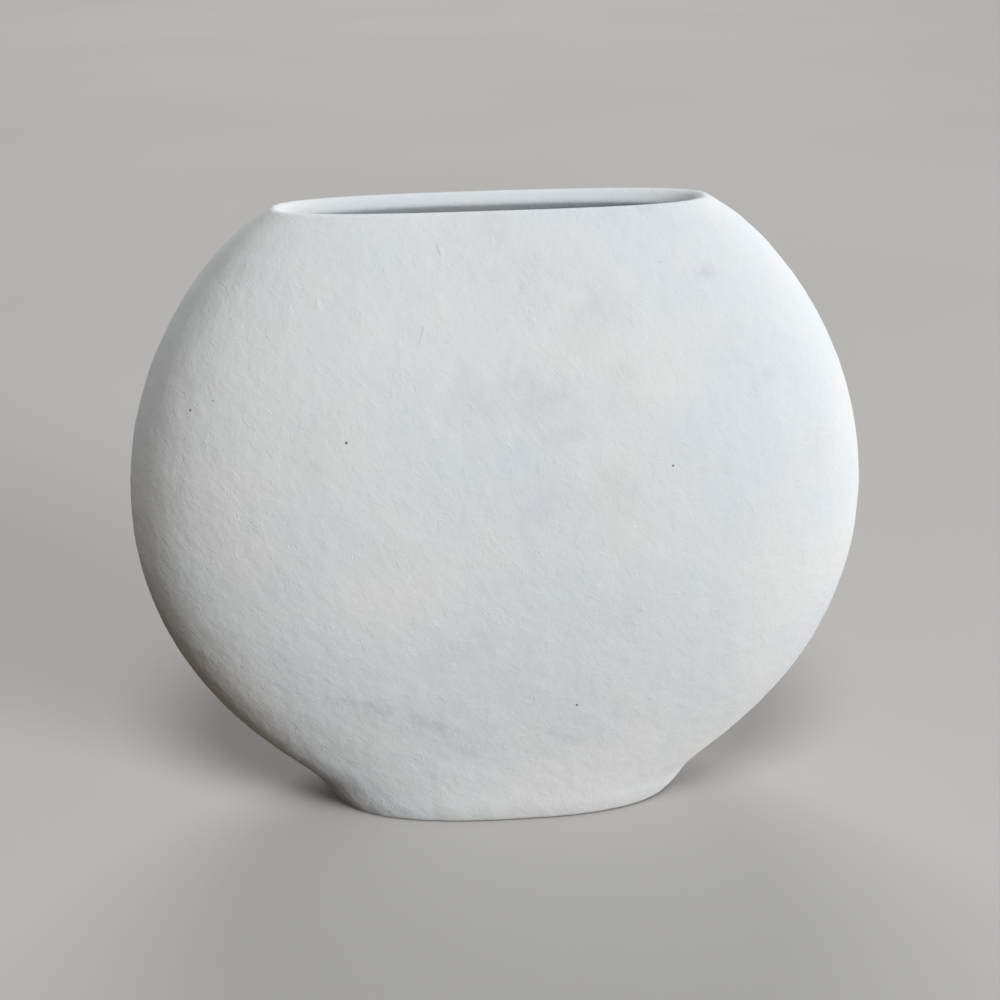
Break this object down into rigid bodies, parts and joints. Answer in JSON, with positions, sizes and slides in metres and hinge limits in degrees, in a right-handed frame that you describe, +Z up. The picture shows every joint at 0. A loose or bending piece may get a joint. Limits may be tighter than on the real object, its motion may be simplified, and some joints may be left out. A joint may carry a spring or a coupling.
{
  "type": "pillow vase",
  "caption": "Flattened round ceramic pillow vase with an oblong foot and a slot mouth with a rounded lip, matt white outside and glazed inside, for holding cut stems.",
  "frame": {"origin": "centre of the foot's underside, on the surface that the vase stands on", "axes": "+Z up, +X along the width of the broad faces, front face towards -Y"},
  "size_m": [0.15, 0.058, 0.13],
  "materials": {
    "bisque_clay": "bare fired clay",
    "liner_glaze": "smooth satin glaze",
    "matte_white": "matt, fine papery texture"
  },
  "bodies": {
    "root": {"front_shell": "bisque_clay", "rear_shell": "bisque_clay", "base_slab": "bisque_clay", "glaze_lining": "liner_glaze", "matte_coat": "matte_white"}
  },
  "joints": []
}
